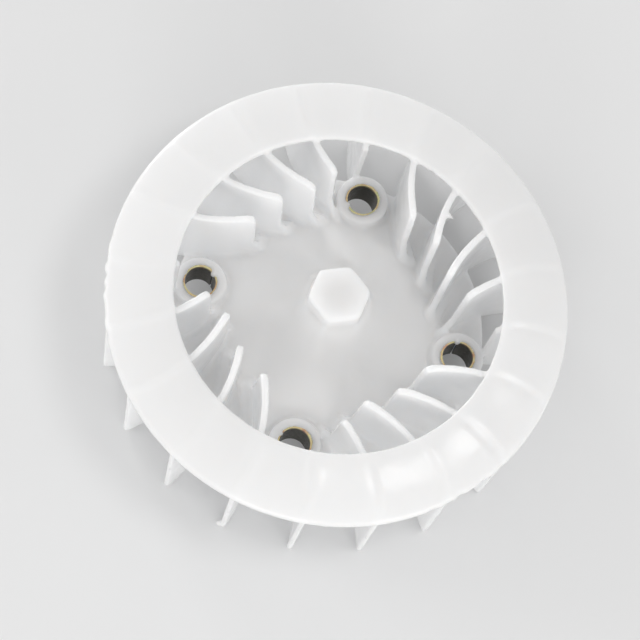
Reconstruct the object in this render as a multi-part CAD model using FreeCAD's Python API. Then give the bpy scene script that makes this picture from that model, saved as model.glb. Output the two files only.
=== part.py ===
"""Engine cooling fan of a small scooter: a moulded centrifugal impeller with four steel sleeves.

Units are millimetres, +Z points to the air inlet, and the rotation axis is the Z axis.
Z = 0 is the plane of the blades' lowest corners, on which the fan can rest.
Angles count from +X, counter-clockwise as seen from the inlet.
"""
import FreeCAD
import Part
import math
import os

V = FreeCAD.Vector

# Shroud ring
RING_OUTER_R = 66.5
RING_LIP_Z = 36.5            # middle of the ring's section at its outer edge
RING_WALL = 2.0
RING_LIP_BEVEL = 0.9
EYE_R = 46.9                 # the air inlet
EYE_Z = 41.8                 # top of the ring at the inlet
RING_RISE_H = 1.1            # rise of the ring's section above its chord
SECTION_STEPS = 3            # cones that make up the ring and the bell, which keeps facets few
EYE_EDGE_BEVEL = 0.4

# Hub plate: a bell that runs from the nub out to a flat rim
HUB_R = 46.5
HUB_RIM_Z = 11.6
HUB_WAIST_R = 27.0
HUB_WAIST_Z = 17.6
HUB_CROWN_R = 10.0
HUB_CROWN_Z = 32.0
HUB_WALL = 2.8

# Hexagonal nub on the crown
NUB_CORNER_R = 9.1
NUB_TOP_Z = 41.0
NUB_TURN = 23.0              # angle of its first corner
NUB_EDGE_BEVEL = 0.8
NUB_ROOT_R = 10.5            # a short cone leads from the bell up to the nub
NUB_ROOT_TOP_R = 8.0
NUB_ROOT_RISE = 1.7
NUB_ROOT_DEPTH = 0.5         # how far the cone starts inside the bell
NUB_CORE_R = 5.0             # blind hollow under the nub
NUB_ROOF = 3.0

# Bosses and sleeves on the bolt circle
BOSS_COUNT = 4
BOSS_CIRCLE_R = 39.0
BOSS_R = 7.8
BOSS_TOP_Z = 18.0
BACK_Z = 7.0                 # plane that bears on the flywheel
BOSS_EDGE_BEVEL = 0.7
SLEEVE_OUTER_R = 5.2
SLEEVE_BORE_R = 4.5
SLEEVE_SEAM = 0.6            # width of the split in the rolled sleeve, filled by the plastic
SEAM_ANGLES = (105.0, 215.0, 50.0, 160.0)

# Blades
BLADE_COUNT = 20
FIRST_BLADE_ANGLE = 5.05     # of a blade's centre line where it passes the inlet circle
BLADE_INNER_R = 32.2         # top inner corner of a full blade
BLADE_INNER_LAG = 14.0       # degrees behind the angle at the inlet circle
BLADE_OUTER_R = 65.3
BLADE_OUTER_LEAD = 1.35
BLADE_ROOT_THICK = 2.1
BLADE_TIP_THICK = 1.6
BLADE_TOP_INNER_Z = 42.0
BLADE_TOP_EYE_Z = 40.2
BLADE_EDGE_SLOPE = 0.08      # the inner edge leans inwards, mm for each mm down
BLADE_FLARE_Z = 25.0         # below this height it curves further inwards
BLADE_FLARE_ROUND = 11.0
BLADE_FLARE_BEND = 60.0      # degrees that the flare turns through
BLADE_CORNER_ROUND = 2.8
BLADE_EDGE_TOP_R = 66.1      # outer edge where it meets the ring
BLADE_HEEL_R = 65.4          # outer edge at its lower end
BLADE_HEEL_ROUND = 1.6
BLADE_BELLY_Z = 8.0          # lower edge where it leaves the hub rim
CUT_BLADE_INNER_R = 36.7     # the blade beside each boss stops short of it
SHORT_BLADE_INNER_R = 45.8   # the blade at each boss ends on it
BLADES_PER_BOSS = BLADE_COUNT // BOSS_COUNT

# Construction of the blades
STRIP_SHARES = (-0.25, 0.5, 1.1)   # the plan strip runs past both ends of the blade
HIDDEN_R = 24.0              # inner end of the side view, inside what is trimmed off
UNDER_R = 40.5               # inner end of the lower edge, inside the hub plate
TRIM_MARGIN = 4.0            # reach of the trimming shape past each face
NEAR = 0.01                  # lengths closer than this count as equal


def polar(r, degrees):
    a = math.radians(degrees)
    return V(r * math.cos(a), r * math.sin(a), 0)


def section_point(r, z):
    return V(r, 0, z)


def circle_through(a, b, c):
    """Centre and radius of the circle through three points of a plane."""
    circle = Part.Arc(a, b, c).toShape().Curve
    return circle.Center, circle.Radius


def arc_edge(a, b, c):
    return Part.Arc(a, b, c).toShape()


def line_edge(a, b):
    return Part.LineSegment(a, b).toShape()


def spin(edges):
    """Solid of revolution about Z from the closed chain of section edges."""
    face = Part.Face(Part.Wire(edges))
    return face.revolve(V(0, 0, 0), V(0, 0, 1), 360)


def lines_through(points):
    return [line_edge(a, b) for a, b in zip(points, points[1:])]


def rounded_corner(before, corner, after, radius):
    """Start, middle and end of the arc that rounds a corner between two straight runs."""
    back = (before - corner).normalize()
    on = (after - corner).normalize()
    half = back.getAngle(on) / 2
    reach = radius / math.tan(half)
    centre = corner + (back + on).normalize() * (radius / math.sin(half))
    middle = centre + (corner - centre).normalize() * radius
    return corner + back * reach, middle, corner + on * reach


def ring_middle():
    """Centre and radius of the ring section's middle line."""
    inner = section_point(EYE_R, EYE_Z - RING_WALL / 2)
    outer = section_point(RING_OUTER_R, RING_LIP_Z)
    along = (outer - inner).normalize()
    top = (inner + outer) / 2 + V(-along.z, 0, along.x) * RING_RISE_H
    return circle_through(inner, top, outer)


def ring_height(r, offset):
    """Height of the ring at radius r, offset up or down from its middle line."""
    centre, radius = ring_middle()
    return centre.z + math.sqrt((radius + offset) ** 2 - (r - centre.x) ** 2)


def stepped(start_r, end_r, height, offset):
    """Section points at even steps of radius, at the heights that height(r, offset) gives."""
    step = (end_r - start_r) / SECTION_STEPS
    radii = [start_r + step * i for i in range(SECTION_STEPS + 1)]
    return [section_point(r, height(r, offset)) for r in radii]


def ring():
    half = RING_WALL / 2
    upper = stepped(EYE_R + EYE_EDGE_BEVEL, RING_OUTER_R - RING_LIP_BEVEL, ring_height, half)
    lower = stepped(EYE_R, RING_OUTER_R, ring_height, -half)
    eye = section_point(EYE_R, upper[0].z - EYE_EDGE_BEVEL)
    lip = section_point(RING_OUTER_R, upper[-1].z - RING_LIP_BEVEL)
    return spin(lines_through([eye] + upper + [lip] + lower[::-1] + [eye]))


def is_circle(edge, radius):
    return hasattr(edge.Curve, "Radius") and abs(edge.Curve.Radius - radius) < NEAR


def hub_arc():
    """Centre and radius of the bell's upper section line."""
    return circle_through(
        section_point(HUB_CROWN_R, HUB_CROWN_Z),
        section_point(HUB_WAIST_R, HUB_WAIST_Z),
        section_point(HUB_R, HUB_RIM_Z),
    )


def hub_height(r, depth):
    """Height of the bell at radius r, a depth below its upper face."""
    centre, radius = hub_arc()
    return centre.z - math.sqrt((radius + depth) ** 2 - (r - centre.x) ** 2)


def hub():
    """The bell with a closed crown and an open hollow below."""
    crown = section_point(0, HUB_CROWN_Z)
    upper = stepped(HUB_CROWN_R, HUB_R, hub_height, 0)
    lower = stepped(NUB_CORE_R, HUB_R, hub_height, HUB_WALL)
    floor = section_point(0, lower[0].z)
    bell = spin(lines_through([crown] + upper + lower[::-1] + [floor, crown]))
    low = V(0, 0, HUB_CROWN_Z - NUB_ROOT_DEPTH)
    root = Part.makeCone(NUB_ROOT_R, NUB_ROOT_TOP_R, NUB_ROOT_RISE + NUB_ROOT_DEPTH, low)
    body = bell.multiFuse([root, nub()])
    core = Part.makeCylinder(NUB_CORE_R, NUB_TOP_Z - NUB_ROOF)
    return body.cut(core)


def nub():
    corners = [polar(NUB_CORNER_R, NUB_TURN + 60 * k) for k in range(7)]
    base = Part.Face(Part.makePolygon(corners))
    base.translate(V(0, 0, HUB_CROWN_Z - HUB_WALL))
    block = base.extrude(V(0, 0, NUB_TOP_Z - HUB_CROWN_Z + HUB_WALL))
    rims = [e for e in block.Edges if e.BoundBox.ZMin > NUB_TOP_Z - NEAR]
    return block.makeChamfer(NUB_EDGE_BEVEL, rims)


def boss(angle):
    post = Part.makeCylinder(BOSS_R, BOSS_TOP_Z - BACK_Z, V(0, 0, BACK_Z))
    rim = [e for e in post.Edges if is_circle(e, BOSS_R) and e.BoundBox.ZMin > BOSS_TOP_Z - NEAR]
    post = post.makeChamfer(BOSS_EDGE_BEVEL, rim)
    post.translate(polar(BOSS_CIRCLE_R, angle))
    return post


def sleeve(angle, seam_angle):
    """Rolled steel sleeve: a tube that is split along one side."""
    length = BOSS_TOP_Z - BACK_Z
    tube = Part.makeCylinder(SLEEVE_OUTER_R, length).cut(Part.makeCylinder(SLEEVE_BORE_R, length))
    slot = Part.makeBox(SLEEVE_OUTER_R * 2, SLEEVE_SEAM, length, V(0, -SLEEVE_SEAM / 2, 0))
    slot.rotate(V(0, 0, 0), V(0, 0, 1), seam_angle)
    split = tube.cut(slot).Solids[0]
    split.translate(polar(BOSS_CIRCLE_R, angle) + V(0, 0, BACK_Z))
    return split


def blade_line():
    """Centre, radius and three plan points of a blade's centre line; the inlet point is on +X."""
    inner = polar(BLADE_INNER_R, -BLADE_INNER_LAG)
    eye = polar(EYE_R, 0)
    outer = polar(BLADE_OUTER_R, BLADE_OUTER_LEAD)
    centre, radius = circle_through(inner, eye, outer)
    return centre, radius, inner, outer


def blade_side(side):
    """Plan arc of one face of the blade, run past both ends of the blade."""
    centre, radius, inner, outer = blade_line()
    start = math.atan2(inner.y - centre.y, inner.x - centre.x)
    stop = math.atan2(outer.y - centre.y, outer.x - centre.x)
    points = []
    for share in STRIP_SHARES:
        angle = start + (stop - start) * share
        thick = BLADE_ROOT_THICK + (BLADE_TIP_THICK - BLADE_ROOT_THICK) * share
        reach = radius + side * thick / 2
        points.append(centre + V(math.cos(angle), math.sin(angle), 0) * reach)
    return points


def blade_strip():
    left = blade_side(1)
    right = blade_side(-1)
    wire = Part.Wire([
        arc_edge(*left),
        line_edge(left[2], right[2]),
        arc_edge(*reversed(right)),
        line_edge(right[0], left[0]),
    ])
    return Part.Face(wire).extrude(V(0, 0, EYE_Z + HUB_WALL))


def blade_outline():
    """Side view of a blade in the upright plane through its tip, open past its inner edge."""
    slope = (BLADE_TOP_INNER_Z - BLADE_TOP_EYE_Z) / (EYE_R - BLADE_INNER_R)
    heel = heel_corner()
    belly_slope = (BLADE_BELLY_Z - heel.z) / (heel.x - HUB_R)
    under = V(UNDER_R, 0, BLADE_BELLY_Z + belly_slope * (HUB_R - UNDER_R))
    hub_mid_r = (HIDDEN_R + HUB_R) / 2
    ring_mid_r = (EYE_R + RING_OUTER_R) / 2
    ring_start_r = EYE_R + RING_WALL / 2
    edge_top = V(BLADE_EDGE_TOP_R, 0, ring_height(BLADE_EDGE_TOP_R, 0))
    turn = rounded_corner(under, heel, edge_top, BLADE_HEEL_ROUND)
    run = lines_through([
        turn[2],
        edge_top,
        V(ring_mid_r, 0, ring_height(ring_mid_r, 0)),
        V(ring_start_r, 0, ring_height(ring_start_r, 0)),
        V(EYE_R, 0, BLADE_TOP_EYE_Z),
        V(HIDDEN_R, 0, BLADE_TOP_EYE_Z + slope * (EYE_R - HIDDEN_R)),
        V(HIDDEN_R, 0, hub_height(HIDDEN_R, HUB_WALL / 2)),
        V(hub_mid_r, 0, hub_height(hub_mid_r, HUB_WALL / 2)),
        under,
        turn[0],
    ])
    return Part.Face(Part.Wire([arc_edge(*turn)] + run))


def heel_corner():
    """Sharp corner of the heel, placed so that its rounded point touches Z = 0."""
    across = BLADE_HEEL_R - BLADE_HEEL_ROUND - HUB_R
    down = BLADE_BELLY_Z - BLADE_HEEL_ROUND
    dip = math.atan2(down, across) + math.asin(BLADE_HEEL_ROUND / math.hypot(across, down))
    return V(BLADE_HEEL_R, 0, BLADE_BELLY_Z - math.tan(dip) * (BLADE_HEEL_R - HUB_R))


def point_on_blade(r):
    """Plan point and outward direction of the centre line at radius r."""
    centre, radius, _, _ = blade_line()
    reach = centre.Length
    turn = math.acos((radius ** 2 + reach ** 2 - r ** 2) / (2 * radius * reach))
    spoke = (centre * -1).normalize() * radius
    point = centre + FreeCAD.Rotation(V(0, 0, 1), -math.degrees(turn)).multVec(spoke)
    outward = V(0, 0, 1).cross(point - centre).normalize()
    if outward.dot(point) < 0:
        outward = outward * -1
    return point, outward


def inner_edge_tool(inner_r):
    """Solid that trims a blade to its inner edge, square to the blade."""
    point, outward = point_on_blade(inner_r)
    top_z = EYE_Z + HUB_WALL
    lean = BLADE_EDGE_SLOPE * (BLADE_TOP_INNER_Z - BLADE_FLARE_Z)
    flare = []
    for share in (0, 0.5, 1):
        turn = math.radians(BLADE_FLARE_BEND * share)
        inward = lean + BLADE_FLARE_ROUND * (1 - math.cos(turn))
        flare.append((inward, BLADE_FLARE_Z - BLADE_FLARE_ROUND * math.sin(turn)))
    far = BLADE_INNER_R / 2
    top = (BLADE_EDGE_SLOPE * (BLADE_TOP_INNER_Z - top_z), top_z)
    places = [top] + flare + [(far, flare[2][1]), (far, top_z)]
    p = [point - outward * inward + V(0, 0, z) for inward, z in places]
    wire = Part.Wire([
        line_edge(p[0], p[1]),
        arc_edge(p[1], p[2], p[3]),
        line_edge(p[3], p[4]),
        line_edge(p[4], p[5]),
        line_edge(p[5], p[0]),
    ])
    width = BLADE_ROOT_THICK + TRIM_MARGIN + TRIM_MARGIN
    side = V(0, 0, 1).cross(outward) * width
    face = Part.Face(wire)
    face.translate(side * -0.5)
    return face.extrude(side)


def blade(inner_r):
    width = BLADE_OUTER_R
    side_view = blade_outline()
    side_view.translate(V(0, -width / 2, 0))
    side_view = side_view.extrude(V(0, width, 0))
    side_view.rotate(V(0, 0, 0), V(0, 0, 1), BLADE_OUTER_LEAD)
    whole = blade_strip().common(side_view)
    trimmed = whole.cut(inner_edge_tool(inner_r))
    piece = max(trimmed.Solids, key=lambda s: s.Volume)
    point, _ = point_on_blade(inner_r)
    corner = [e for e in piece.Edges if is_top_corner(e, point)]
    return piece.makeFillet(BLADE_CORNER_ROUND, corner)


def is_top_corner(edge, point):
    middle = edge.CenterOfMass
    near = math.hypot(middle.x - point.x, middle.y - point.y) < BLADE_ROOT_THICK / 2
    return near and edge.Length < BLADE_CORNER_ROUND and middle.z > BLADE_TOP_EYE_Z


def short_blade():
    whole = blade(CUT_BLADE_INNER_R)
    keep = Part.makeCylinder(SHORT_BLADE_INNER_R, EYE_Z + HUB_WALL)
    return whole.cut(keep)


def turned(shape, degrees):
    copy = shape.copy()
    copy.rotate(V(0, 0, 0), V(0, 0, 1), degrees)
    return copy


def blades():
    kinds = [short_blade(), blade(CUT_BLADE_INNER_R)]
    kinds += [blade(BLADE_INNER_R)] * (BLADES_PER_BOSS - 2)
    pitch = 360 / BLADE_COUNT
    return [turned(kinds[i % BLADES_PER_BOSS], FIRST_BLADE_ANGLE + pitch * i) for i in range(BLADE_COUNT)]


def boss_angles():
    return [360 / BOSS_COUNT * k for k in range(BOSS_COUNT)]


def impeller(sleeves):
    body = hub()
    body = body.multiFuse([boss(a) for a in boss_angles()])
    body = body.multiFuse(blades() + [ring()])
    for a in boss_angles():
        length = BOSS_TOP_Z - BACK_Z
        bore = Part.makeCylinder(SLEEVE_BORE_R, length, polar(BOSS_CIRCLE_R, a) + V(0, 0, BACK_Z))
        body = body.cut(bore)
    for tube in sleeves:
        body = body.cut(tube)
    return body.Solids[0]


def main():
    os.makedirs("parts", exist_ok=True)
    sleeves = [sleeve(a, s) for a, s in zip(boss_angles(), SEAM_ANGLES)]
    body = impeller(sleeves)
    print("impeller", body.ShapeType, len(body.Solids), body.isValid(), round(body.Volume), body.BoundBox)
    body.exportStep("parts/impeller.step")
    for i, tube in enumerate(sleeves):
        print("bush", i + 1, tube.ShapeType, tube.isValid(), round(tube.Volume, 1))
        tube.exportStep("parts/bush_%d.step" % (i + 1))


main()
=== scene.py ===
# %% [markdown]
# # A moulded engine cooling fan
# The object is a centrifugal fan from a small scooter's engine. One white moulding holds a shroud ring,
# curved blades, a bell-shaped hub plate, four bosses and a hexagonal nub, and four split steel sleeves sit
# in the bosses. The solids come from the CAD model. This lesson dresses them: it builds the moulding again
# as a fine mesh with soft root fillets and sink marks, gives both materials their finish, and lights them.

# %% Load the frame
import math
import bmesh
import bpy
import numpy as np
from mathutils import Matrix, Vector


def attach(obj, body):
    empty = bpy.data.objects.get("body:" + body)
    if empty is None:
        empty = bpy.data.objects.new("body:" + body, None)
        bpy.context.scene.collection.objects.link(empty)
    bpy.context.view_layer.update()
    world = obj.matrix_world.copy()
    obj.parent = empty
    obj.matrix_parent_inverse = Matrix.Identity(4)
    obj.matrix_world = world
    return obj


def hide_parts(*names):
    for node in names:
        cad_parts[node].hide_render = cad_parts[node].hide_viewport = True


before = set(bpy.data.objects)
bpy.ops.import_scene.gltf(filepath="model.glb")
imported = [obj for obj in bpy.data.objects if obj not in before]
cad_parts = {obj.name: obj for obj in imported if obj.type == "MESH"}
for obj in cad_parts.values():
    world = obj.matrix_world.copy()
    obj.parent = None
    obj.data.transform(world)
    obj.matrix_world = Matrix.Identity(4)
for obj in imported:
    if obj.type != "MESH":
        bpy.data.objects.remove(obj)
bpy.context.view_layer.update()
print("nodes:", sorted(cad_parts))

# %% [markdown]
# ## Walls
# Each part of the moulding is a wall: a front surface and a back surface that carry the same grid of
# points. If both grids have the same shape, the wall can be closed by joining their borders. One function
# can do that for the ring, the plate, the bosses and the blades, so no part needs its own way of making
# faces.

# %% Walls from two grids of points
MM = 0.001
parts = []


def wall(front, back, keep=None, wrap=False):
    """Closes the space between two grids of points (rows, columns, xyz) and adds it to the parts."""
    rows, cols = front.shape[:2]
    cells = cols if wrap else cols - 1
    if keep is None:
        keep = np.ones((rows - 1, cells), bool)
    a = np.arange(rows * cols).reshape(rows, cols)
    b = a + rows * cols
    faces = []
    for i in range(rows - 1):
        for j in range(cells):
            if not keep[i, j]:
                continue
            k = (j + 1) % cols
            faces.append((a[i, j], a[i, k], a[i + 1, k], a[i + 1, j]))
            faces.append((b[i, j], b[i + 1, j], b[i + 1, k], b[i, k]))
            sides = (
                (i == 0 or not keep[i - 1, j], (i, j), (i, k)),
                (i == rows - 2 or not keep[i + 1, j], (i + 1, k), (i + 1, j)),
                (outside(keep, i, j - 1, wrap), (i + 1, j), (i, j)),
                (outside(keep, i, j + 1, wrap), (i, k), (i + 1, k)),
            )
            for is_border, p, q in sides:
                if is_border:
                    faces.append((a[q], a[p], b[p], b[q]))
    parts.append((np.concatenate([front.reshape(-1, 3), back.reshape(-1, 3)]), faces))


def outside(keep, i, j, wrap):
    """True where the cell beside this one isn't part of the wall."""
    if wrap:
        return not keep[i, j % keep.shape[1]]
    return j < 0 or j >= keep.shape[1] or not keep[i, j]


def around(radius, height, angles):
    """Points at that radius and height for each row, turned to each angle (radians)."""
    grid = np.zeros(np.broadcast(radius, angles[None, :]).shape + (3,))
    grid[..., 0] = radius * np.cos(angles)
    grid[..., 1] = radius * np.sin(angles)
    grid[..., 2] = height
    return grid


print("lengths are in mm here and become metres in Blender, times", MM)

# %% [markdown]
# ## The sections of the ring and the bell
# The ring and the hub plate are both turned from an arc. A circle through three points of the section gives
# the arc, and a height is then a function of the radius. The same two functions later tell the blades and
# the bosses where they meet the plate.

# %% Section arcs
def circle_through(a, b, c):
    """Centre and radius of the circle through three points (x, y)."""
    (ax, ay), (bx, by), (cx, cy) = a, b, c
    d = 2 * (ax * (by - cy) + bx * (cy - ay) + cx * (ay - by))
    a2, b2, c2 = ax * ax + ay * ay, bx * bx + by * by, cx * cx + cy * cy
    x = (a2 * (by - cy) + b2 * (cy - ay) + c2 * (ay - by)) / d
    y = (a2 * (cx - bx) + b2 * (ax - cx) + c2 * (bx - ax)) / d
    return x, y, math.hypot(ax - x, ay - y)


RING_R = 66.5
EYE_R = 46.9
RING_HALF = 1.0              # half the ring's wall
RING_ARC = circle_through((EYE_R, 40.8), (56.95, 39.72), (RING_R, 36.5))
HUB_R = 46.5
CROWN_R = 10.0               # the bell is flat inside this radius, under the nub
CROWN_Z = 32.0
HUB_ARC = circle_through((CROWN_R, CROWN_Z), (27.0, 17.6), (HUB_R, 11.6))
HUB_WALL = 2.8


def ring_z(r, offset):
    """Height of the ring's section, offset up or down from its middle line."""
    x, z, radius = RING_ARC
    return z + np.sqrt((radius + offset) ** 2 - (np.minimum(r, RING_R) - x) ** 2)


def hub_z(r, depth=0.0):
    """Height of the bell's upper face, or of a surface that deep below it."""
    x, z, radius = HUB_ARC
    return z - np.sqrt((radius + depth) ** 2 - (np.clip(r, 0, HUB_R) - x) ** 2)


def rounding(distance, radius):
    """How far a face drops at that distance from its edge, where the edge is rounded."""
    inside = np.clip(radius - distance, 0, radius)
    return radius - np.sqrt(radius ** 2 - inside ** 2)


def stations(start, stop, count, edge=1.0, fine=6):
    """Even steps from start to stop, with finer ones near both ends."""
    turn = np.linspace(0, math.pi / 2, fine)
    near = edge * (1 - np.cos(turn))
    middle = np.linspace(start + edge, stop - edge, count)[1:-1]
    return np.concatenate([start + near, middle, (stop - near)[::-1]])


print("ring: top at the eye %.1f mm" % ring_z(EYE_R, RING_HALF))
print("ring: top near the rim %.1f mm" % ring_z(RING_R - 1, RING_HALF))

# %% [markdown]
# ## Where the blades run
# Seen from above, each blade's middle line is one arc that leans back towards the nub. The ring needs these
# lines too, because the plastic shrinks where a blade stands behind it and leaves a shallow sink mark.

# %% Blade lines
BLADES = 20
FIRST_BLADE = 5.05           # degrees
PITCH = 360 / BLADES
BLADE_IN_R = 32.2            # inner corner of a full blade
TIP_TURN = 1.35              # degrees between the blade's place at the eye and its tip


def on_circle(r, degrees):
    """Plan point at that radius and angle."""
    return r * math.cos(math.radians(degrees)), r * math.sin(math.radians(degrees))


INNER_END = on_circle(BLADE_IN_R, -14.0)
OUTER_END = on_circle(65.3, TIP_TURN)
LINE_X, LINE_Y, LINE_R = circle_through(INNER_END, on_circle(EYE_R, 0), OUTER_END)
LINE_START = math.atan2(INNER_END[1] - LINE_Y, INNER_END[0] - LINE_X)
LINE_STOP = math.atan2(OUTER_END[1] - LINE_Y, OUTER_END[0] - LINE_X)
LINE_WAY = 1.0 if LINE_STOP > LINE_START else -1.0
LINE_LONG = abs(LINE_STOP - LINE_START) * LINE_R


def line_point(s):
    """Plan point and normal of a blade's middle line, s mm outwards from its inner corner."""
    a = LINE_START + LINE_WAY * np.asarray(s) / LINE_R
    out = np.stack([np.cos(a), np.sin(a)], -1)
    return np.array([LINE_X, LINE_Y]) + LINE_R * out, out


SAMPLES_S = np.linspace(-16, LINE_LONG + 4, 400)
SAMPLES_R = np.hypot(*line_point(SAMPLES_S)[0].T)
SAMPLES_A = np.degrees(np.arctan2(line_point(SAMPLES_S)[0][:, 1], line_point(SAMPLES_S)[0][:, 0]))


def s_at(r):
    """The s at which the middle line passes radius r."""
    return np.interp(r, SAMPLES_R, SAMPLES_S)


def angle_at(r):
    """Degrees that the middle line has turned by where it passes radius r."""
    return np.interp(r, SAMPLES_R, SAMPLES_A)


print("blade line: %.1f mm long, bend radius %.1f mm" % (LINE_LONG, LINE_R))

# %% [markdown]
# ## The shroud ring
# It could be a turned profile and nothing else, but the real one shows how it was moulded: a soft dip lies
# over each blade, the lip is round, at two places the outer edge is ragged, where flash was broken off, and
# at one place a burr stands in the eye. The dips are pushed into the grid itself, so that the light finds
# them from every side.

# %% Ring
RAGGED = ((318.0, 9.0), (194.0, 12.0))         # degrees round the ring, and how wide
BURR = (68.0, 16.0)
SINK_DEPTH = 0.2


def near_angle(degrees, at, wide):
    """1 at that angle, fading to nothing about twice as far away as it is wide."""
    return np.exp(-((((degrees - at) + 180) % 360 - 180) / wide) ** 2)


def wave(angle, seed, scale):
    """Smooth noise round the circle from a few sines whose turns are whole numbers."""
    rng = np.random.default_rng(seed)
    total = np.zeros_like(angle)
    for turns in scale:
        total += np.sin(turns * angle + rng.uniform(0, 6.28)) * rng.uniform(0.5, 1.0)
    return total / len(scale)


def sink(r, degrees):
    """Depth of the sink marks on the ring's upper face."""
    turn = degrees - FIRST_BLADE - angle_at(r)
    off = (turn + PITCH / 2) % PITCH - PITCH / 2
    blade = np.round((turn - off) / PITCH).astype(int) % BLADES
    rng = np.random.default_rng(21)
    across = np.radians(off) * r + rng.uniform(-0.5, 0.5, BLADES)[blade]
    dip = np.exp(-((across + 0.5) / 1.3) ** 2) * rng.uniform(0.8, 1.3, BLADES)[blade]
    crest = np.exp(-((across - 1.7) / 1.1) ** 2) * rng.uniform(0.5, 1.1, BLADES)[blade]
    sag = 0.5 * np.cos(np.radians(off) * BLADES)
    fade = np.clip((r - EYE_R) / 4, 0.25, 1) * np.clip((RING_R - r) / 2.5, 0, 1)
    return SINK_DEPTH * fade * (dip - crest - sag)


def make_ring():
    angles = np.linspace(0, 2 * math.pi, 720, endpoint=False)
    degrees = np.degrees(angles)[None, :]
    r = stations(EYE_R, RING_R, 15, edge=0.95, fine=5)[:, None]
    ragged = sum(near_angle(degrees, at, wide) for at, wide in RAGGED)
    rim = 0.12 * (1 + wave(angles, 3, range(23, 70, 6))) / 2
    torn = 1.1 * ragged * np.clip(wave(angles, 5, (53, 71, 89, 107)) + 0.35, 0, 1)
    burr = near_angle(degrees, *BURR)
    eye = 0.08 * wave(angles, 8, (31, 47, 59)) + 0.22 * burr * wave(angles, 9, (63, 87, 111))
    near_rim = np.clip((r - 64.5) / 2, 0, 1) ** 2
    near_eye = np.clip((EYE_R + 1.5 - r) / 1.5, 0, 1) ** 2
    radius = r - (rim + torn) * near_rim + eye * near_eye
    lip = rounding(RING_R - r, 0.9)
    soft = rounding(r - EYE_R, 0.35)
    warp = 0.04 * wave(angles, 1, (3, 5, 7, 11))
    top = ring_z(r, RING_HALF) - lip - soft - sink(r, degrees) + warp
    low = ring_z(r, -RING_HALF) + rounding(RING_R - r, 0.6) + soft + 0 * degrees
    wall(around(radius, top, angles), around(radius, low, angles), wrap=True)


make_ring()
print("ring: %d faces" % len(parts[-1][1]))

# %% [markdown]
# ## The hub plate
# The plate is a bell with a flat rim, open below. The sleeves pass through it, so the grid leaves out the
# cells round each bore, and the boss that is built next hides the stepped edge of that hole.

# %% Hub plate
BOSSES = 4
BOLT_R = 39.0
BOSS_R = 7.8
BOSS_TOP = 18.0
BACK_Z = 7.0
SLEEVE_R = 5.2
SKIN_R = 4.85                # a thin skin of plastic creeps over the end of the sleeve
SKIN_TOP = 18.2
HOLE_R = 6.3                 # cells nearer to a sleeve's axis are left out of the plate
CORE_R = 5.0                 # blind hollow under the nub
boss_angles = [2 * math.pi * k / BOSSES for k in range(BOSSES)]
boss_centres = [BOLT_R * np.array([math.cos(a), math.sin(a)]) for a in boss_angles]


def make_hub():
    angles = np.linspace(0, 2 * math.pi, 360, endpoint=False)
    r = stations(CORE_R, HUB_R, 38, edge=0.5, fine=5)[:, None] + 0 * angles[None, :]
    sway = 0.05 * wave(angles, 2, (4, 7, 9)) * np.clip((r - 12) / 10, 0, 1)
    top = np.where(r < CROWN_R, CROWN_Z, hub_z(r)) - rounding(HUB_R - r, 0.5) + sway
    low = hub_z(r, HUB_WALL) + rounding(HUB_R - r, 0.5)
    front = around(r, top, angles)
    middle = (front[:-1] + front[1:]) / 2
    middle = (middle + np.roll(middle, -1, axis=1)) / 2
    keep = np.ones(middle.shape[:2], bool)
    for centre in boss_centres:
        keep &= np.hypot(middle[..., 0] - centre[0], middle[..., 1] - centre[1]) > HOLE_R
    wall(front, around(r, low, angles), keep, wrap=True)


make_hub()
print("hub plate: %d faces" % len(parts[-1][1]))

# %% [markdown]
# ## Soft feet
# In the mould every wall meets the plate in a small radius. A real fillet between two meshes would need a
# boolean and a bevel, and both are fragile on curved walls. Here the wall itself flares out at its foot, so
# that its last points lie on the plate and run along it, which looks the same from all sides.

# %% Foot flare
FILLET = 2.6
FOOT_STEPS = np.linspace(0, 1, 8)
FOOT_RISE = FOOT_STEPS ** 2.4
FOOT_OUT = (1 - FOOT_STEPS) ** 1.25


def room_for_fillet(r, size):
    """The fillet gets smaller where the plate ends."""
    return np.clip((HUB_R - 0.3 - r) / 1.4, 0, 1) * size


print("foot: %.1f mm at a blade, in %d steps" % (FILLET, len(FOOT_STEPS)))

# %% [markdown]
# ## The bosses
# Each boss is a short tube round a sleeve, with a rounded rim and a soft foot. On the outer side it stands
# flush with the plate's edge, where no fillet fits.

# %% Bosses
BOSS_STEPS = 72
BOSS_FILLET = 1.9
BOSS_ROUND = 1.0


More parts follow.
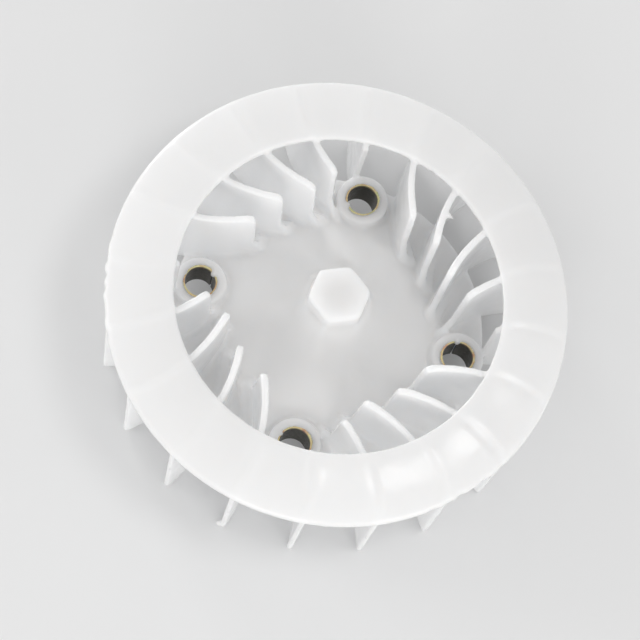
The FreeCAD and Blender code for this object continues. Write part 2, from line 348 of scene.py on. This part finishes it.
def make_boss(centre):
    turn = np.linspace(0, 2 * math.pi, BOSS_STEPS, endpoint=False)
    way = np.stack([np.cos(turn), np.sin(turn)], -1)
    even = np.ones(BOSS_STEPS)

    def ring_of(reach):
        return centre + way * np.reshape(reach, (-1, 1))

    foot_r = np.hypot(*(ring_of(BOSS_R)).T)
    size = room_for_fillet(foot_r + 1.0, BOSS_FILLET)
    outer = [(even * (BOSS_R - 0.4), BACK_Z), (even * BOSS_R, BACK_Z + 0.4)]
    outer.append((BOSS_R + size * 0, hub_z(foot_r, 1.4)))
    for rise, out in zip(FOOT_RISE, FOOT_OUT):
        reach = BOSS_R + size * out
        at = np.hypot(*(ring_of(reach)).T)
        outer.append((reach, hub_z(at) - 0.03 + size * rise))
    for t in np.linspace(0, math.pi / 2, 6):
        reach = BOSS_R - 0.05 - BOSS_ROUND * (1 - math.cos(t))
        outer.append((even * reach, SKIN_TOP - BOSS_ROUND * (1 - math.sin(t))))
    skin = SKIN_R + 0.12 * np.sin(2 * turn + centre[0])
    outer.append((skin + 0.5, SKIN_TOP))
    outer.append((skin + 0.15, SKIN_TOP - 0.05))
    rows = len(outer)
    inner_z = np.interp(np.arange(rows), [0, rows - 4, rows - 3, rows - 1],
                        [BACK_Z, 17.3, 17.5, SKIN_TOP - 0.12])
    front = np.zeros((rows, BOSS_STEPS, 3))
    back = np.zeros((rows, BOSS_STEPS, 3))
    for i, (reach, z) in enumerate(outer):
        front[i, :, :2] = ring_of(reach)
        front[i, :, 2] = z
        back[i, :, :2] = ring_of(even * (SLEEVE_R - 0.12) if i < rows - 3 else skin)
        back[i, :, 2] = inner_z[i]
    wall(front, back, wrap=True)


for centre in boss_centres:
    make_boss(centre)
print("bosses: %d, each %d faces" % (BOSSES, len(parts[-1][1])))

# %% [markdown]
# ## The nub
# The middle of the bell carries a hexagonal nub. Its corners and its rim are soft, because the tool was
# polished, so it is drawn as a circle whose radius follows a rounded hexagon.

# %% Nub
NUB_R = 9.35                 # to a corner
NUB_TURN = math.radians(23.0)
NUB_TOP = 41.0
NUB_ROUND = 1.1
NUB_TAPER = 0.15
NUB_FOOT_HIGH = 3.6
NUB_FOOT_WIDE = 4.4


def hexagon(turn, corner_r, soft):
    """Radius of a hexagon with rounded corners; soft is 0 for sharp ones and 1 for a circle."""
    flat = corner_r * math.cos(math.pi / 6)
    off = (turn - NUB_TURN) % (math.pi / 3) - math.pi / 6
    sharp = flat / np.cos(off)
    limit = corner_r * (1 - 0.035)
    blend = 0.5 * (sharp + limit - np.sqrt((sharp - limit) ** 2 + 0.06))
    return blend * (1 - soft) + flat * soft


def make_nub():
    turn = np.linspace(0, 2 * math.pi, 144, endpoint=False)
    rows = []
    for rise, out in zip(FOOT_RISE, FOOT_OUT):
        reach = hexagon(turn, NUB_R, 0.7 * out) + NUB_FOOT_WIDE * out
        plate = np.where(reach > CROWN_R, hub_z(reach), CROWN_Z)
        rows.append((reach, plate - 0.03 + NUB_FOOT_HIGH * rise))
    side = NUB_TOP - NUB_FOOT_HIGH - NUB_ROUND - CROWN_Z
    for share in (0.35, 0.7):
        reach = hexagon(turn, NUB_R - NUB_TAPER * share, 0)
        rows.append((reach, CROWN_Z + NUB_FOOT_HIGH + side * share))
    for t in np.linspace(0, math.pi / 2, 7):
        reach = hexagon(turn, NUB_R - NUB_TAPER - NUB_ROUND * (1 - math.cos(t)), 0)
        rows.append((reach, NUB_TOP - NUB_ROUND * (1 - math.sin(t))))
    for share in (0.8, 0.55, 0.3, 0.1, 0.001):
        rows.append((hexagon(turn, (NUB_R - 1.3) * share, 0), NUB_TOP - 0.12 * (1 - share)))
    front = np.stack([around(np.reshape(r, (1, -1)), z, turn)[0] for r, z in rows])
    row = np.arange(len(rows))
    last = len(rows) - 1
    hollow_r = np.interp(row, [0, last - 4, last], [CORE_R, CORE_R, 0.001])
    hollow_z = np.interp(row, [0, last - 4], [hub_z(CORE_R, HUB_WALL), NUB_TOP - 3.0])
    back = around(hollow_r[:, None], hollow_z[:, None], turn)
    wall(front, back, wrap=True)


make_nub()
print("nub: %d faces" % len(parts[-1][1]))

# %% [markdown]
# ## Flash
# Where the melt found the slits of the rolled sleeves it left small white lumps in the mouths of the bores.
# Two blades are torn too: one has a spike at its upper edge and one a lump at its heel. All of this belongs
# to this fan, so it is made of small blobs that melt into the rest.

# %% Flash lumps
SPIKE = ((24.45, 32.5, 40.3), (0.95, 0.75, 0.8), (2.3, -1.3, 0.2))
HEEL_LUMP = ((-14.1, -63.3, 1.2), (1.1, 0.9, 1.1))
NIB_Z = 17.6
NIBS = (                     # boss, degrees round its bore, distance from its axis, size across and along
    (0, 105.0, 4.5, 0.75, 1.1),
    (1, 217.0, 4.5, 0.85, 1.0),
    (2, 48.0, 4.5, 0.95, 1.0),
    (2, 165.0, 4.75, 0.5, 0.8),
    (3, 160.0, 4.6, 0.6, 0.8),
)


def blob(centre, sizes, tip=None):
    """An egg round the centre (mm); with a tip it is drawn out by that much as a spike."""
    up = np.linspace(-math.pi / 2, math.pi / 2, 9)[:, None]
    turn = np.linspace(0, 2 * math.pi, 14, endpoint=False)
    egg = around(np.cos(up), np.sin(up), turn) * np.array(sizes)
    if tip is not None:
        pull = np.clip(egg @ np.array(tip) / np.linalg.norm(tip) / max(sizes), 0, 1)[..., None]
        egg = egg * (1 - 0.8 * pull) + pull ** 2 * np.array(tip)
    grid = egg + np.array(centre)
    wall(grid, np.broadcast_to(np.array(centre, float), grid.shape).copy(), wrap=True)


for boss, at, reach, across, tall in NIBS:
    way = np.array([math.cos(math.radians(at)), math.sin(math.radians(at))])
    x, y = boss_centres[boss] + way * reach
    blob((x, y, NIB_Z), (across, across, tall))
blob(*SPIKE)
blob(*HEEL_LUMP)
print("flash: %d lumps at the bores, a spike and a lump on the blades" % len(NIBS))

# %% [markdown]
# ## The blades
# A blade is an upright strip along its plan arc. Its lower side follows the bell and then drops freely to
# the heel, its upper side rises towards the middle, and its inner edge sweeps inwards near the plate. Four
# small functions give these four sides, so that each can be changed without the others.

# %% Blade outline
INNER_TOP_Z = 42.0
EYE_TOP_Z = 40.2
TOP_SLOPE = (INNER_TOP_Z - EYE_TOP_Z) / (EYE_R - BLADE_IN_R)
SWEEP_Z = 25.0               # below this height the inner edge sweeps inwards
SWEEP_R = 11.0
LEAN = 0.08
HEEL_R = 65.4
HEEL_ROUND = 1.6
BELLY_Z = 8.0
HEEL_DIP = math.atan2(BELLY_Z - HEEL_ROUND, HEEL_R - HEEL_ROUND - HUB_R) + math.asin(
    HEEL_ROUND / math.hypot(BELLY_Z - HEEL_ROUND, HEEL_R - HEEL_ROUND - HUB_R))
CORNER_ROUND = 2.8
TIP_WAY = np.array(on_circle(1.0, TIP_TURN))


def upper_edge(s, start):
    """Height of the blade's upper side; start is the s of its inner corner."""
    point, _ = line_point(s)
    x = point @ TIP_WAY
    free = EYE_TOP_Z + TOP_SLOPE * (EYE_R - x) - rounding(s - start, CORNER_ROUND)
    return np.where(x < EYE_R + 0.2, free, ring_z(np.hypot(*np.moveaxis(point, -1, 0)), 0.0))


def lower_edge(s):
    """Height of the blade's free lower side, from the plate's edge to the rounded heel."""
    x = np.minimum(line_point(s)[0] @ TIP_WAY, HEEL_R)
    middle = HEEL_R - HEEL_ROUND
    line = BELLY_Z - math.tan(HEEL_DIP) * (x - HUB_R)
    bow = HEEL_ROUND - np.sqrt(np.maximum(HEEL_ROUND ** 2 - (x - middle) ** 2, 0))
    return np.where(x < middle - HEEL_ROUND * math.sin(HEEL_DIP), line, bow)


def inner_edge(z, start):
    """The s of the blade's inner edge at that height: nearly upright, then flaring inwards."""
    lean = LEAN * (INNER_TOP_Z - np.maximum(z, SWEEP_Z))
    turn = np.arcsin(np.clip((SWEEP_Z - z) / SWEEP_R, 0, 0.87))
    return start - lean - SWEEP_R * (1 - np.cos(turn))


def outer_edge(z):
    """The s of the blade's outer edge, which leans out a little on its way up to the ring."""
    return LINE_LONG + 0.1 + 0.7 * np.clip(z, 0, 37) / 37


print("blade: %.1f mm high at the plate's edge" % (EYE_TOP_Z - BELLY_Z))

# %% [markdown]
# ## The grid of one blade
# Both faces of a blade share one grid. Its rows run along the blade, from the foot to the upper side, and
# each row knows how far it flares at the foot or shrinks at a rounded edge. The inner edge is curved, so
# the start of each row is found by a scan along the middle line, which is simpler than solving for it.

# %% Blade grid
EDGE_ROUND = 0.35
FREE_ROWS = 12
SHUT = 9.0                   # more than any half thickness, so both faces meet
THICK = 2.1
THINNER = 0.5                # by which the outer end is thinner
TOP_TURNS = np.linspace(0, math.pi / 2, 4)


def row_heights(s, start):
    """Heights of all rows at s, with the flare and the shrinking of each row's half thickness."""
    r = np.hypot(*np.moveaxis(line_point(s)[0], -1, 0))
    on_plate = r < HUB_R - 0.3
    size = room_for_fillet(r, FILLET)
    foot = np.where(on_plate, hub_z(r), lower_edge(s))
    top = upper_edge(s, start)
    root = np.where(on_plate, foot - 0.9, foot)
    rows = [(root, np.where(on_plate, size, 0), np.where(on_plate, 0, SHUT))]
    for rise, out in zip(FOOT_RISE, FOOT_OUT):
        z = foot + np.where(on_plate, size * rise - 0.03, EDGE_ROUND * rise)
        rows.append((z, np.where(on_plate, size * out, 0), np.where(on_plate, 0, EDGE_ROUND * out)))
    low = rows[-1][0]
    high = top - EDGE_ROUND
    for share in np.linspace(0, 1, FREE_ROWS)[1:-1]:
        rows.append((low + (high - low) * share, 0 * s, 0 * s))
    for t in TOP_TURNS:
        shrink = EDGE_ROUND * (1 - math.cos(t))
        rows.append((top - EDGE_ROUND * (1 - math.sin(t)), 0 * s, shrink + 0 * s))
    rows.append((top, 0 * s, SHUT + 0 * s))
    return rows


SCAN = np.linspace(-15, 20, 1400)


def row_start(index, start):
    """Where a row meets the inner edge: the last s at which the edge still lies outside it."""
    z = row_heights(SCAN, start)[index][0]
    ahead = SCAN - inner_edge(z, start)
    crossing = np.nonzero((ahead[:-1] < 0) & (ahead[1:] >= 0))[0]
    return SCAN[crossing[-1] + 1] if len(crossing) else start


def blade_grids(inner_r, square):
    """Both faces of a blade that starts at inner_r; a square one ends inside a boss."""
    start = float(s_at(inner_r))
    count = len(row_heights(np.zeros(1), start))
    nose = np.linspace(0, math.pi / 2, 5)
    faces = ([], [])
    for j in range(count):
        begin = start if square else row_start(j, start)
        flare0 = float(row_heights(np.array([begin]), start)[j][1][0])
        round0 = 0.75 + 0.8 * flare0
        end = float(outer_edge(row_heights(np.array([LINE_LONG]), start)[j][0][0]))
        first = begin - 0.25 * flare0
        near = first + round0 * (1 - np.cos(nose))
        rest = np.linspace(near[-1], end - 0.3, 25)[1:]
        s = np.concatenate([[first], near, rest, [end - 0.09, end, end]])
        z, flare, shrink = [v.astype(float) for v in row_heights(s, start)[j]]
        along = np.clip(s - float(s_at(BLADE_IN_R)), -8, LINE_LONG) / LINE_LONG
        half = (THICK - THINNER * along) / 2 + flare
        cut = np.concatenate([[SHUT], round0 * (1 - np.sin(nose)), 0 * rest, [0.1, 0.3, SHUT]])
        if square:
            cut[:len(nose) + 1] = 0
        half = np.maximum(half - shrink - cut, 0)
        point, out = line_point(s)
        for side, rows in zip((1, -1), faces):
            plan = point + out * (side * half)[:, None]
            rows.append(np.concatenate([plan, z[:, None]], 1))
    return np.array(faces[0]), np.array(faces[1])


kinds = [blade_grids(45.8, True), blade_grids(36.7, False)] + [blade_grids(BLADE_IN_R, False)] * 3
print("blade grid: %d rows of %d points" % kinds[-1][0].shape[:2])

# %% [markdown]
# ## Twenty blades
# There are three kinds of blade. One ends in a boss, the next is cut back beside it, and the other three
# reach all the way in. This row of five repeats four times, so each kind is made once and then turned.

# %% Blades
def turned(grid, degrees):
    """The grid, turned round the fan's axis."""
    a = math.radians(degrees)
    spin = np.array([[math.cos(a), math.sin(a), 0], [-math.sin(a), math.cos(a), 0], [0, 0, 1]])
    return grid @ spin


for i in range(BLADES):
    left, right = kinds[i % len(kinds)]
    wall(turned(left, FIRST_BLADE + PITCH * i), turned(right, FIRST_BLADE + PITCH * i))
print("blades: %d, each %d faces" % (BLADES, len(parts[-1][1])))

# %% [markdown]
# ## One moulding
# All of these walls are one moulding, so they become one mesh, which stands for the solid of the moulding.
# A boolean union of so many curved walls often fails. Here they are melted together in small voxels and
# smoothed a little, which never leaves a hole and also softens the inner corners as a mould does.

# %% Join the parts
VOXEL = 0.5
TRIANGLES = 190000


def join_parts(name):
    """One mesh of all the walls, still overlapping."""
    points = np.concatenate([p for p, _ in parts]) * MM
    faces = []
    shift = 0
    for p, fs in parts:
        faces += [[int(v) + shift for v in f] for f in fs]
        shift += len(p)
    mesh = bpy.data.meshes.new(name)
    mesh.from_pydata(points.tolist(), [], faces)
    return mesh


def close_mesh(mesh):
    """Joins the points that coincide and turns all faces outwards."""
    bm = bmesh.new()
    bm.from_mesh(mesh)
    bmesh.ops.remove_doubles(bm, verts=bm.verts, dist=0.000002)
    bmesh.ops.dissolve_degenerate(bm, edges=bm.edges, dist=0.000001)
    bmesh.ops.recalc_face_normals(bm, faces=bm.faces)
    bm.to_mesh(mesh)
    bm.free()


def evaluated(body):
    """A new mesh of the object with its modifiers applied."""
    graph = bpy.context.evaluated_depsgraph_get()
    return bpy.data.meshes.new_from_object(body.evaluated_get(graph))


def fused(loose, voxel, limit):
    """One closed mesh from overlapping ones, with soft inner corners and at most that many triangles."""
    rough = bpy.data.objects.new("loose_parts", loose)
    bpy.context.scene.collection.objects.link(rough)
    remesh = rough.modifiers.new("melt", "REMESH")
    remesh.mode = "VOXEL"
    remesh.voxel_size = voxel * MM
    soften = rough.modifiers.new("soften", "SMOOTH")
    soften.factor = 0.5
    soften.iterations = 3
    melted = evaluated(rough)
    melted.calc_loop_triangles()
    fewer = rough.modifiers.new("fewer", "DECIMATE")
    fewer.ratio = min(1.0, limit / len(melted.loop_triangles))
    result = evaluated(rough)
    bpy.data.objects.remove(rough)
    print("melted: %d triangles" % len(melted.loop_triangles))
    return result


loose_mesh = join_parts("loose_parts")
close_mesh(loose_mesh)
moulding_mesh = fused(loose_mesh, VOXEL, TRIANGLES)
moulding_mesh.name = "fan_moulding"
moulding_mesh.shade_smooth()
moulding = bpy.data.objects.new("fan_moulding", moulding_mesh)
bpy.context.scene.collection.objects.link(moulding)
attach(moulding, "root")
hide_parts("impeller")
moulding_mesh.calc_loop_triangles()
print("moulding: %d triangles" % len(moulding_mesh.loop_triangles))

# %% [markdown]
# ## Natural white plastic
# The plastic has no pigment, so light enters it and comes out again some way off, which softens every
# shadow. Subsurface scattering gives that. A coat on top carries the gloss, because a rougher base under a
# smoother coat keeps the scattering even. Its face is slightly wavy, with a fine grain in its gloss.

# %% Moulding material
def new_material(name):
    """A material, its nodes and links, and its shader."""
    material = bpy.data.materials.new(name)
    material.use_nodes = True
    nodes = material.node_tree.nodes
    shader = nodes["Principled BSDF"]
    return material, nodes, material.node_tree.links, shader


def noise(nodes, links, coords, scale, detail=4.0):
    node = nodes.new("ShaderNodeTexNoise")
    node.inputs["Scale"].default_value = scale
    node.inputs["Detail"].default_value = detail
    links.new(coords, node.inputs["Vector"])
    return node.outputs["Fac"]


def ramp(nodes, links, value, stops):
    node = nodes.new("ShaderNodeValToRGB")
    while len(node.color_ramp.elements) < len(stops):
        node.color_ramp.elements.new(0.5)
    for element, (place, colour) in zip(node.color_ramp.elements, stops):
        element.position = place
        element.color = (*colour, 1)
    links.new(value, node.inputs["Fac"])
    return node.outputs["Color"]


def bump(nodes, links, height, depth, strength, before=None):
    node = nodes.new("ShaderNodeBump")
    node.inputs["Distance"].default_value = depth
    node.inputs["Strength"].default_value = strength
    links.new(height, node.inputs["Height"])
    if before:
        links.new(before, node.inputs["Normal"])
    return node.outputs["Normal"]


def grey(value):
    return (value, value, value)


def dress(name, material):
    """Gives the CAD node of that name the material."""
    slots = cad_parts[name].data.materials
    slots.clear()
    slots.append(material)


def moulding_material():
    material, nodes, links, shader = new_material("natural_white_plastic")
    coords = nodes.new("ShaderNodeTexCoord").outputs["Object"]
    cloud = noise(nodes, links, coords, 38.0)
    colour = ramp(nodes, links, cloud, [(0.3, (0.967, 0.973, 0.982)), (0.7, (0.98, 0.984, 0.988))])
    links.new(colour, shader.inputs["Base Color"])
    gloss = noise(nodes, links, coords, 160.0, 6.0)
    rough = ramp(nodes, links, gloss, [(0.35, grey(0.34)), (0.7, grey(0.44))])
    links.new(rough, shader.inputs["Roughness"])
    skin = ramp(nodes, links, gloss, [(0.35, grey(0.13)), (0.7, grey(0.26))])
    links.new(skin, shader.inputs["Coat Roughness"])
    shader.inputs["Coat Weight"].default_value = 0.6
    shader.inputs["Coat IOR"].default_value = 1.49
    shader.inputs["IOR"].default_value = 1.4
    shader.inputs["Subsurface Weight"].default_value = 1.0
    shader.inputs["Subsurface Radius"].default_value = (0.9, 0.95, 1.0)
    shader.inputs["Subsurface Scale"].default_value = 0.007
    soft = bump(nodes, links, noise(nodes, links, coords, 70.0, 2.0), 0.00025, 0.5)
    fine = bump(nodes, links, noise(nodes, links, coords, 1400.0, 3.0), 0.00002, 0.35, soft)
    links.new(fine, shader.inputs["Normal"])
    return material


plastic = moulding_material()
moulding_mesh.materials.append(plastic)
dress("impeller", plastic)
print("plastic: %d nodes" % len(plastic.node_tree.nodes))

# %% [markdown]
# ## Yellow-zinc steel
# The sleeves are rolled from sheet steel and plated. The plating is golden, and its thin film shifts
# towards green and red in patches. Deeper in the bore that colour is mixed into a near black, which is
# painted shade for the shadow inside the bore; only the mouth keeps the plating's colour.

# %% Sleeve material
def sleeve_material():
    material, nodes, links, shader = new_material("yellow_zinc_steel")
    coords = nodes.new("ShaderNodeTexCoord").outputs["Object"]
    film = noise(nodes, links, coords, 420.0, 3.0)
    colour = ramp(nodes, links, film, [
        (0.3, (0.52, 0.27, 0.20)),
        (0.45, (0.66, 0.50, 0.28)),
        (0.6, (0.70, 0.64, 0.34)),
        (0.75, (0.50, 0.56, 0.28)),
    ])
    height = nodes.new("ShaderNodeSeparateXYZ")
    links.new(coords, height.inputs["Vector"])
    bore_shade_mask = nodes.new("ShaderNodeMapRange")
    bore_shade_mask.inputs["From Min"].default_value = (BOSS_TOP - 1.2) * MM
    bore_shade_mask.inputs["From Max"].default_value = (BOSS_TOP - 0.2) * MM
    links.new(height.outputs["Z"], bore_shade_mask.inputs["Value"])
    # painted shade: below the mouth the plating's colour is mixed into a near black, for the shadow deep in
    # the bore
    deep = nodes.new("ShaderNodeMix")
    deep.data_type = "RGBA"
    deep.inputs["A"].default_value = (0.07, 0.065, 0.05, 1)
    links.new(colour, deep.inputs["B"])
    links.new(bore_shade_mask.outputs["Result"], deep.inputs["Factor"])
    links.new(deep.outputs["Result"], shader.inputs["Base Color"])
    shader.inputs["Metallic"].default_value = 1.0
    gloss = noise(nodes, links, coords, 900.0, 4.0)
    rough = ramp(nodes, links, gloss, [(0.3, grey(0.26)), (0.7, grey(0.42))])
    links.new(rough, shader.inputs["Roughness"])
    links.new(bump(nodes, links, gloss, 0.00002, 0.4), shader.inputs["Normal"])
    return material


zinc = sleeve_material()
for k in range(BOSSES):
    dress("bush_%d" % (k + 1), zinc)
print("sleeves finished:", BOSSES)

# %% [markdown]
# ## The floor
# The fan lies on a plain pale floor, a single large square. It is a little uneven in tone, because a
# perfectly even one looks cut out.

# %% Floor
FLOOR_HALF = 3.0             # metres


def floor_material():
    material, nodes, links, shader = new_material("pale_floor")
    coords = nodes.new("ShaderNodeTexCoord").outputs["Object"]
    shade = noise(nodes, links, coords, 6.0, 2.0)
    colour = ramp(nodes, links, shade, [(0.3, grey(0.80)), (0.7, grey(0.83))])
    links.new(colour, shader.inputs["Base Color"])
    shader.inputs["Roughness"].default_value = 0.8
    return material


floor_mesh = bpy.data.meshes.new("floor")
corners = [(x * FLOOR_HALF, y * FLOOR_HALF, 0) for x, y in ((-1, -1), (1, -1), (1, 1), (-1, 1))]
floor_mesh.from_pydata(corners, [], [(0, 1, 2, 3)])
floor_mesh.materials.append(floor_material())
floor = bpy.data.objects.new("floor", floor_mesh)
bpy.context.scene.collection.objects.link(floor)
print("floor: %.0f m square" % (2 * FLOOR_HALF))

# %% [markdown]
# ## The light
# A white part shows its form by soft shading alone, so an even glow from all round carries most of the
# light. One small lamp at the right gives the glossy patch on the ring, a large one fills from the camera's
# side, and four low ones brighten the blades without making the ring clip.

# %% Light
LOOK_AT = Vector((0, 0, 0.02))


def soft_lamp(name, place, size, watts):
    """A round area lamp at that place (metres) that faces the fan."""
    lamp = bpy.data.lights.new(name, "AREA")
    lamp.shape = "DISK"
    lamp.size = size
    lamp.energy = watts
    body = bpy.data.objects.new(name, lamp)
    body.location = place
    body.rotation_euler = (LOOK_AT - Vector(place)).to_track_quat("-Z", "Y").to_euler()
    bpy.context.scene.collection.objects.link(body)


soft_lamp("key_light", (0.39, 0.02, 1.07), 0.34, 1.5)
soft_lamp("broad_light", (-0.05, -0.70, 1.30), 1.5, 0.8)
soft_lamp("low_light_front", (0.0, -1.24, 0.40), 0.6, 3.0)
soft_lamp("low_light_left", (-1.24, 0.0, 0.40), 0.6, 2.2)
soft_lamp("low_light_right", (0.90, -0.90, 0.36), 0.6, 2.6)
soft_lamp("low_light_back", (-0.91, 0.91, 0.22), 0.4, 4.0)

world = bpy.data.worlds.new("studio")
bpy.context.scene.world = world
world.use_nodes = True
glow = world.node_tree.nodes["Background"]
glow.inputs["Color"].default_value = (1, 1, 1, 1)
glow.inputs["Strength"].default_value = 0.66

# %% [markdown]
# ## The camera
# Its place was worked out from the circles of the ring, the bell and the bores as the photo shows them,
# about 70 degrees above the floor. The three axes and the place are set as they were found, so that the
# render can be laid over the photo.

# %% Camera
FOCAL_PX = 2500.0
PHOTO_PX = 640
SENSOR = 36.0
RIGHT = Vector((0.958799, 0.25408, 0.127078))
DOWN = Vector((0.281891, -0.906409, -0.314581))
AHEAD = Vector((0.035256, 0.337441, -0.940686))
camera_data = bpy.data.cameras.new("photo_camera")
camera_data.sensor_width = SENSOR
camera_data.lens = FOCAL_PX / PHOTO_PX * SENSOR
camera = bpy.data.objects.new("photo_camera", camera_data)
turn = Matrix((RIGHT, -DOWN, -AHEAD)).transposed().to_4x4()
camera.matrix_world = Matrix.Translation(Vector((-0.0281227, -0.2459162, 0.700686))) @ turn
bpy.context.scene.collection.objects.link(camera)
bpy.context.scene.camera = camera
bpy.context.scene.view_settings.view_transform = "Standard"
print("camera: %.0f mm lens, %.2f m away" % (camera_data.lens, camera.location.length))
